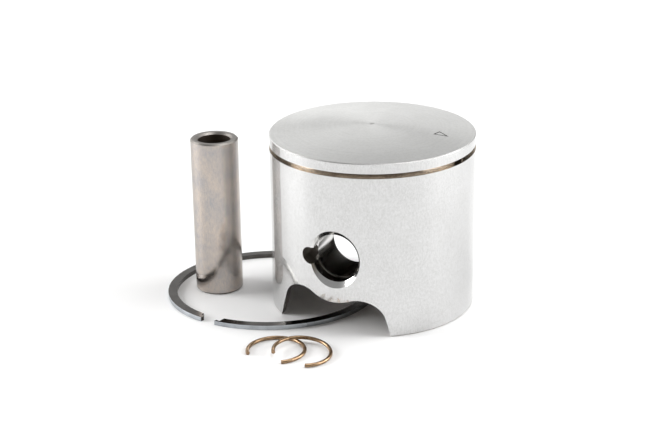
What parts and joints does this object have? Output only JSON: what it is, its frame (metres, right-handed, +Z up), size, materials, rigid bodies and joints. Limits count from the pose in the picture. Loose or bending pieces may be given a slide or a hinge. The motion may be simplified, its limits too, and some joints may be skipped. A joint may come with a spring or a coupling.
{
  "type": "two-stroke motorcycle piston kit",
  "caption": "Two-stroke motorcycle piston with ported skirt and one ring groove, its loose compression ring, hollow wrist pin and wire circlips, laid out as a kit.",
  "frame": {"origin": "middle of the kit's footprint, on the surface it is laid out on", "axes": "+Z up along the piston's axis, Y along the piston's pin bore, -Y out of the bore's mouth on the side where the circlips lie, +X the side that the crown's arrow points to"},
  "size_m": [0.1026, 0.0942, 0.061],
  "materials": {
    "piston_alloy": "satin, finely turned outside and cast inside",
    "peg_steel": "plain",
    "ring_iron": "ground, with a bright running face",
    "pin_steel": "polished",
    "clip_steel": "bronze-brown spring wire"
  },
  "bodies": {
    "piston": {"piston": "piston_alloy", "ring_peg": "peg_steel"},
    "ring": {"compression_ring": "ring_iron"},
    "wrist_pin": {"wrist_pin": "pin_steel"},
    "lower_clip": {"circlip_lower": "clip_steel"},
    "upper_clip": {"circlip_upper": "clip_steel"}
  },
  "joints": [
    {"name": "ring_lift", "type": "slide", "parent": "piston", "child": "ring", "axis": [0, 0, 1], "range_m": [0, 0.0045]},
    {"name": "pin_lift", "type": "slide", "parent": "piston", "child": "wrist_pin", "axis": [0, 0, 1], "range_m": [0, 0.06]},
    {"name": "lower_clip_lift", "type": "slide", "parent": "piston", "child": "lower_clip", "axis": [0, 0, 1], "range_m": [0, 0.03]},
    {"name": "upper_clip_lift", "type": "slide", "parent": "lower_clip", "child": "upper_clip", "axis": [0, 0, 1], "range_m": [0, 0.03]}
  ]
}
